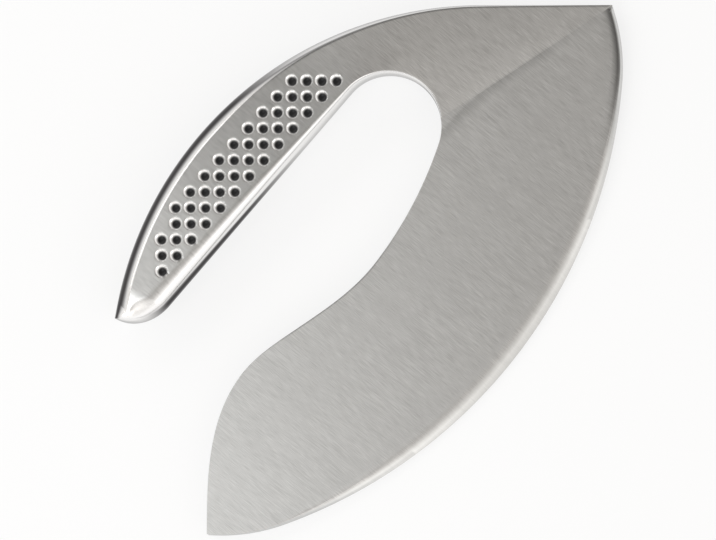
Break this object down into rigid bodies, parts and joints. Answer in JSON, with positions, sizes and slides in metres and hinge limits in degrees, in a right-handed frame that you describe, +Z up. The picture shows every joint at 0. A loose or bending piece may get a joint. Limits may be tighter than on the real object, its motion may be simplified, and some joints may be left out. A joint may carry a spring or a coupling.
{
  "type": "mezzaluna",
  "caption": "Crescent-bladed steel chopping knife whose neck turns back over the fingers as a hollow, dimpled, sand-filled handle; rocked on a board to mince herbs.",
  "frame": {"origin": "centre of the bounding box in plan, at the height of the board that the knife lies on", "axes": "+X along the chord of the blade from the free tip to the neck tip, +Y from the cutting edge to the handle, +Z up. The knife lies as it does on a board, on the back of its grip and on its edge, so its middle plane leans 4.7 degrees"},
  "size_m": [0.1796, 0.104, 0.0162],
  "materials": {
    "blade_steel": "satin, brushed square to the chord, with a brighter ground bevel",
    "handle_steel": "satin flats with polished round-overs and dimple rims",
    "weld_steel": "ground flush and polished",
    "sand": "loose dry grains"
  },
  "bodies": {
    "root": {"blade": "blade_steel", "handle_shell_front": "handle_steel", "handle_shell_back": "handle_steel", "sand_fill": "sand", "seam_weld": "weld_steel", "neck_weld_front": "weld_steel", "neck_weld_back": "weld_steel"}
  },
  "joints": []
}
